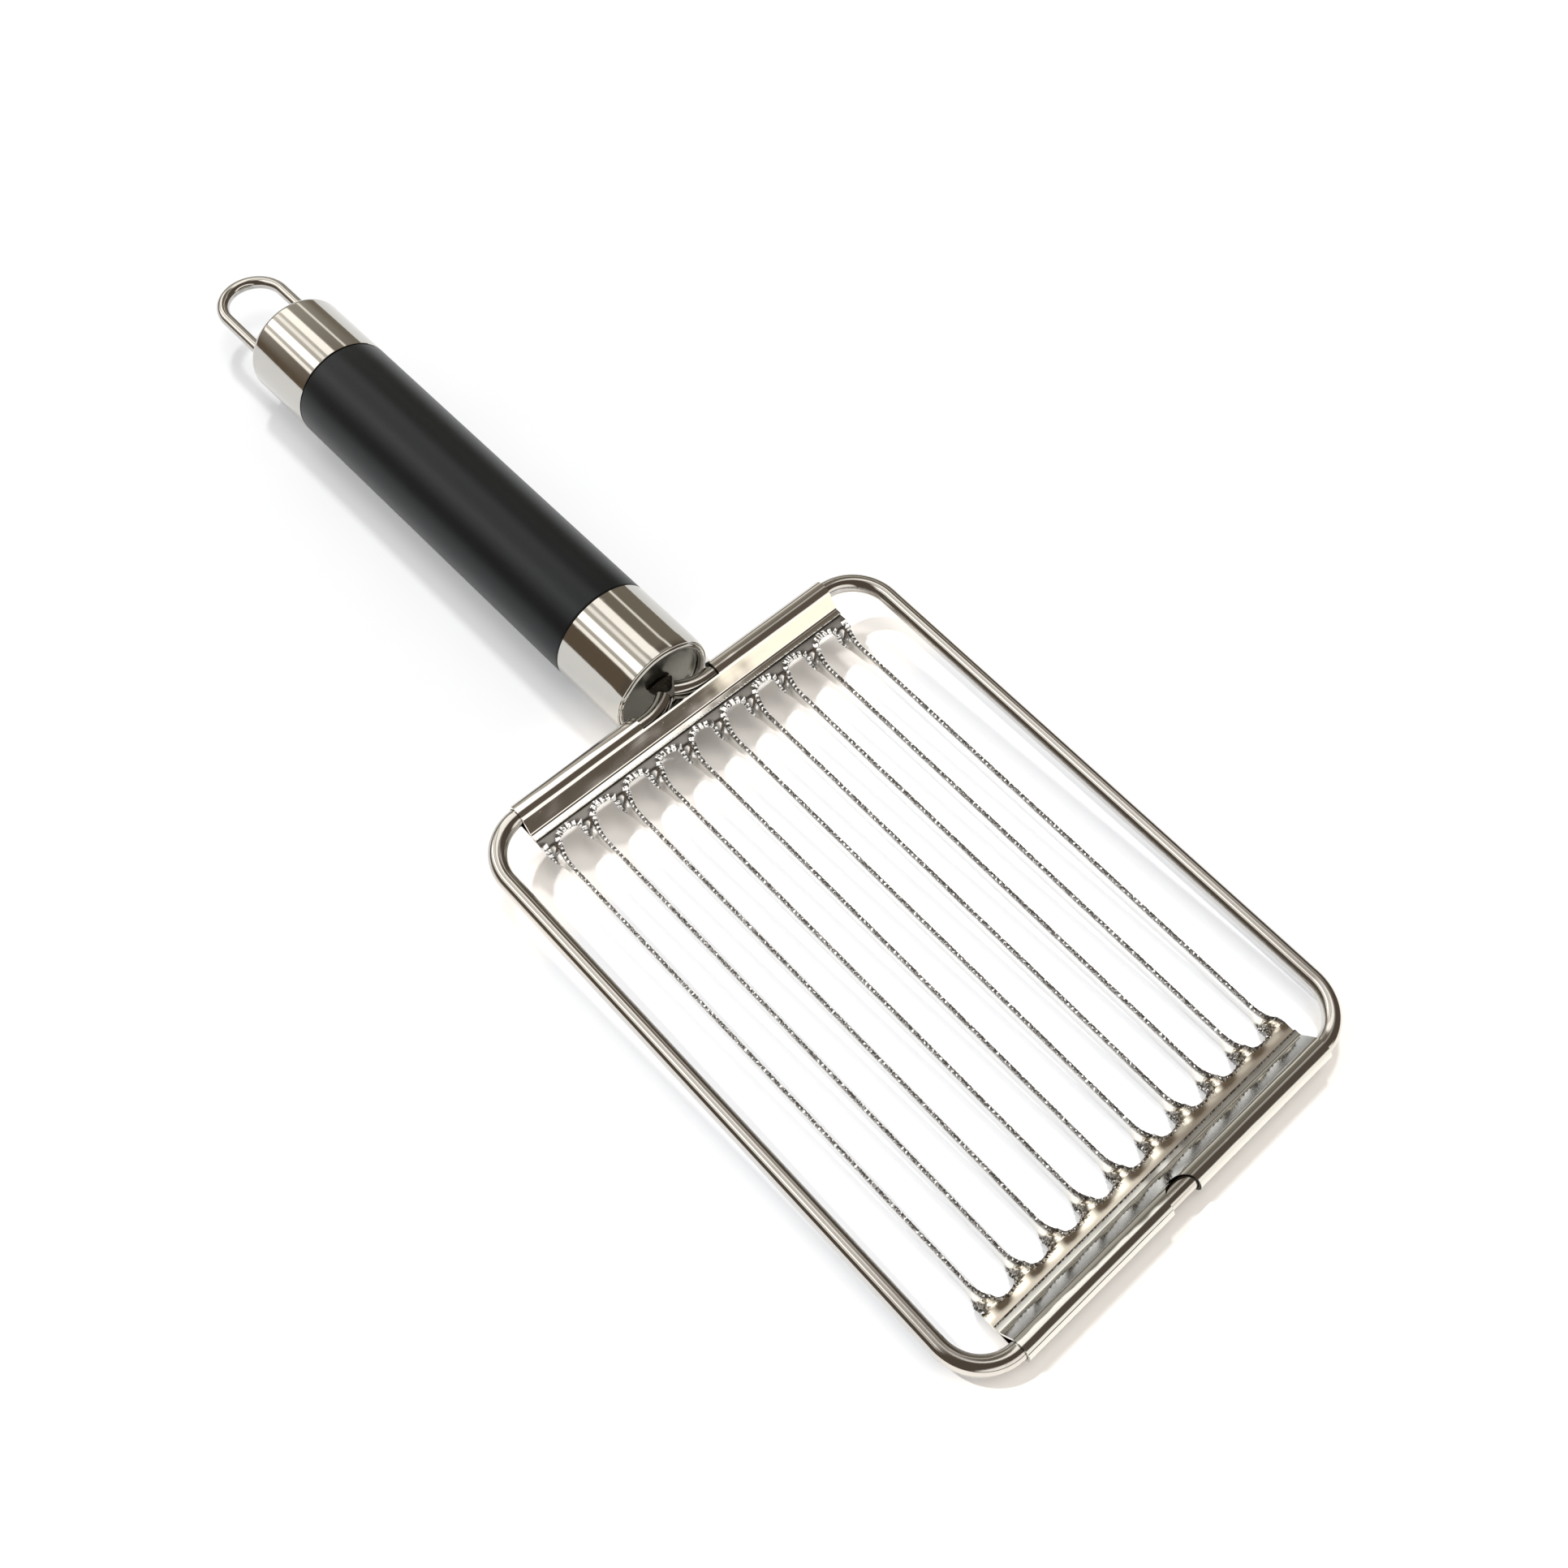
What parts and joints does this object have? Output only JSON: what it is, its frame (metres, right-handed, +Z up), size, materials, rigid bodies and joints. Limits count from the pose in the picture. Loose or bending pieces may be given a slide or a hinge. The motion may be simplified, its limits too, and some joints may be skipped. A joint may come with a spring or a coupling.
{
  "type": "egg slicer",
  "caption": "Hand-held slicer with a rectangular rod frame carrying parallel upright serrated blades, a round black grip with steel ferrules and a hanging loop.",
  "frame": {"origin": "centre of the bounding box, on the surface that the tool lies on", "axes": "+X from the handle towards the head, along the tool; +Y across the head; +Z up when the tool lies flat with its blades below the frame"},
  "size_m": [0.2698, 0.096, 0.022],
  "materials": {
    "rod_steel": "bright polished stainless round rod",
    "sheet_steel": "bright rolled stainless sheet, finely serrated along the slot edges",
    "weld_metal": "dark heat-coloured weld bead, rough",
    "ferrule_steel": "polished stainless with a fine lengthwise grain",
    "disc_steel": "polished stainless disc, slightly dulled in its recess",
    "loop_steel": "bright polished stainless wire",
    "inner_steel": "plain mill-finish steel, out of sight",
    "grip_black": "satin black moulded plastic",
    "plug_plastic": "plain moulded plastic, out of sight"
  },
  "bodies": {
    "root": {"frame_rod": "rod_steel", "blade_plate": "sheet_steel", "tang_weld": "weld_metal", "front_ferrule": "ferrule_steel", "end_disc": "disc_steel", "tang_stud": "inner_steel", "front_plug": "plug_plastic", "grip": "grip_black", "tail_ferrule": "ferrule_steel", "loop_plate": "inner_steel", "tail_plug": "plug_plastic", "hanging_loop": "loop_steel"}
  },
  "joints": []
}
